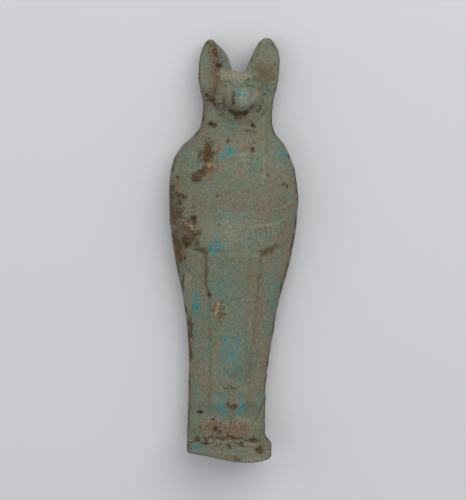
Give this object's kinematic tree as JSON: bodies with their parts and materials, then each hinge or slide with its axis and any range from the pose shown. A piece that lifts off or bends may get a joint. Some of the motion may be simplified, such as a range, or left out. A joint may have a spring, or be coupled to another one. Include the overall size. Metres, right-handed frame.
{
  "type": "jackal-headed ushabti figurine",
  "caption": "Mould-pressed faience funerary figurine with a jackal's head, a broad collar and wrapped legs, flat behind.",
  "frame": {"origin": "middle of the figurine's bounding box, at the level of the flat back that it lies on", "axes": "+Y from the feet towards the ears, +Z from the back towards the face, +X towards the figure's own left arm, which is on the right in the picture"},
  "size_m": [0.049, 0.16, 0.0275],
  "materials": {
    "faience": "matte"
  },
  "bodies": {
    "root": {"ushabti": "faience"}
  },
  "joints": []
}
